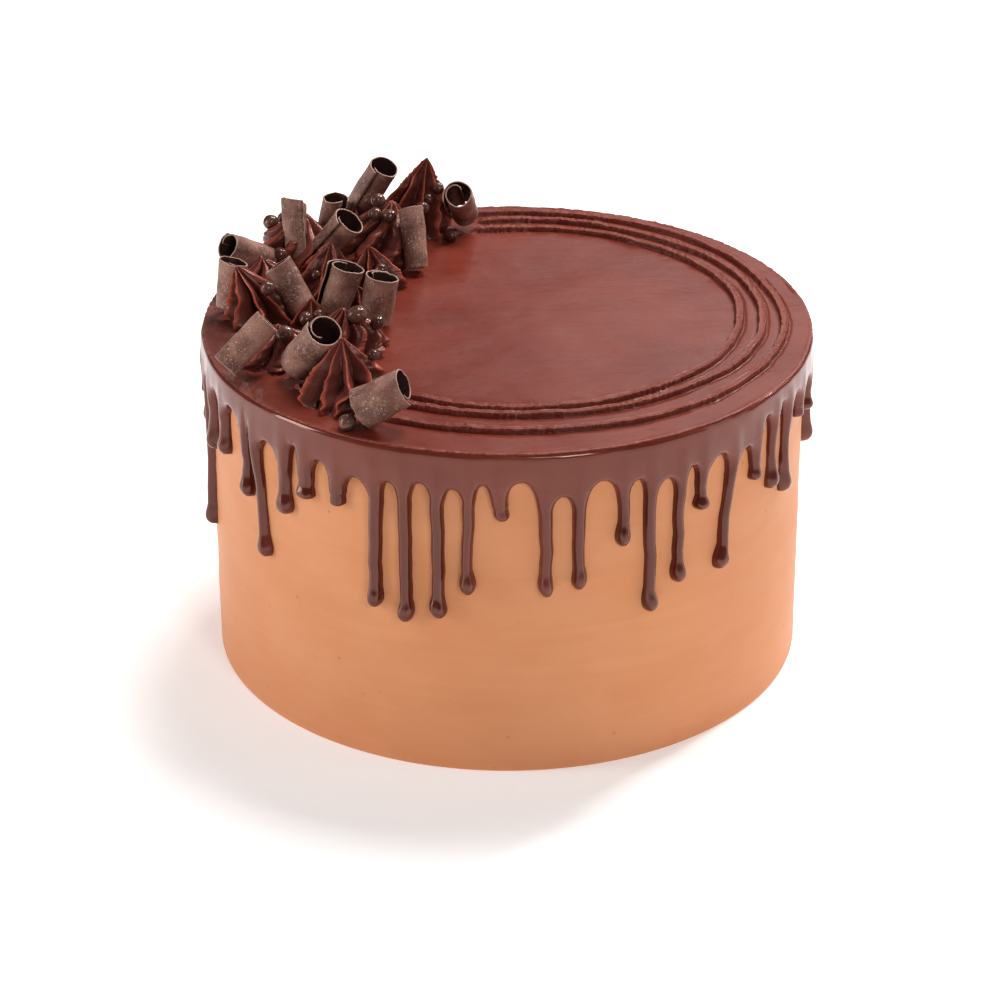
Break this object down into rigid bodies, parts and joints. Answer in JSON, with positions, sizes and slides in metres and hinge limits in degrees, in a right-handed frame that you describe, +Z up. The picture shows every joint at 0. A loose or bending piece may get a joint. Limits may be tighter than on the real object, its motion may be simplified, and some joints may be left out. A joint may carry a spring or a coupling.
{
  "type": "chocolate drip cake",
  "caption": "Round frosted layer cake with chocolate icing on top, glaze dripping down its side, and a crescent of piped rosettes with rolled chocolate curls and pearls.",
  "frame": {"origin": "middle of the base, on the surface that the cake stands on", "axes": "+Z up, -Y towards the cake's front, with the crescent of toppings on the -X side"},
  "size_m": [0.2283, 0.2284, 0.1608],
  "materials": {
    "buttercream": "satin mocha buttercream, smoothed with a scraper",
    "icing": "satin chocolate icing, spread flat with faint streaks",
    "glaze": "glossy set chocolate glaze",
    "piped_chocolate": "satin piped chocolate frosting with ragged crests",
    "shaved_chocolate": "matt rolled chocolate shaving with pale scuffs",
    "chocolate_pearl": "polished crisp chocolate pearl"
  },
  "bodies": {
    "root": {"cake_body": "buttercream", "top_icing": "icing", "drip_glaze": "glaze", "rosette_front": "piped_chocolate", "rosette_rim": "piped_chocolate", "rosette_inner": "piped_chocolate", "rosette_small": "piped_chocolate", "rosette_left": "piped_chocolate", "rosette_nook": "piped_chocolate", "rosette_side": "piped_chocolate", "rosette_middle": "piped_chocolate", "rosette_point": "piped_chocolate", "rosette_edge": "piped_chocolate", "rosette_swirl": "piped_chocolate", "rosette_tall": "piped_chocolate", "rosette_back": "piped_chocolate", "curl_01": "shaved_chocolate", "curl_02": "shaved_chocolate", "curl_03": "shaved_chocolate", "curl_04": "shaved_chocolate", "curl_05": "shaved_chocolate", "curl_06": "shaved_chocolate", "curl_07": "shaved_chocolate", "curl_08": "shaved_chocolate", "curl_09": "shaved_chocolate", "curl_10": "shaved_chocolate", "curl_11": "shaved_chocolate", "curl_12": "shaved_chocolate", "curl_13": "shaved_chocolate", "curl_14": "shaved_chocolate"}
  },
  "joints": []
}
